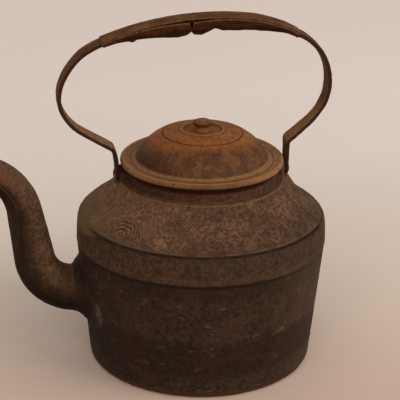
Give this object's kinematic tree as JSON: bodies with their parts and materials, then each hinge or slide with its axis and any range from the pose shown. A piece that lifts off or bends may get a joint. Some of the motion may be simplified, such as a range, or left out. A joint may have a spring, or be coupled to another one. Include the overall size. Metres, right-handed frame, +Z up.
{
  "type": "cast iron kettle",
  "caption": "Large hearth kettle with a tapered round iron body, gooseneck spout low on the wall, pressed domed lid with a knob and an arched strap bail with a rolled grip.",
  "frame": {"origin": "middle of the flat base, on the surface that the kettle stands on", "axes": "+Z up, spout along -X, bail in the XZ plane"},
  "size_m": [0.3591, 0.2456, 0.3458],
  "materials": {
    "sooted_iron": "sooted and rusted as-cast surface",
    "rusty_iron": "even brown rust",
    "wrought_iron": "forged black iron with brown rust",
    "rusty_sheet": "pressed sheet with warm brown rust"
  },
  "bodies": {
    "kettle": {"kettle_body": "sooted_iron", "spout": "sooted_iron", "bail_rivets": "wrought_iron"},
    "lid": {"lid_pan": "rusty_sheet", "lid_rim_wire": "wrought_iron", "lid_collar": "rusty_sheet", "lid_knob": "rusty_iron", "knob_rivet": "rusty_iron", "knob_washer": "rusty_iron"},
    "bail": {"bail_strap": "wrought_iron", "bail_grip": "rusty_sheet"}
  },
  "joints": [
    {"name": "lid_lift", "type": "slide", "parent": "kettle", "child": "lid", "axis": [0, 0, 1], "range_m": [0, 0.08]},
    {"name": "bail_swing", "type": "hinge", "parent": "kettle", "child": "bail", "pos_m": [0, 0, 0.1915], "axis": [1, 0, 0], "range_deg": [-95, 95]}
  ]
}
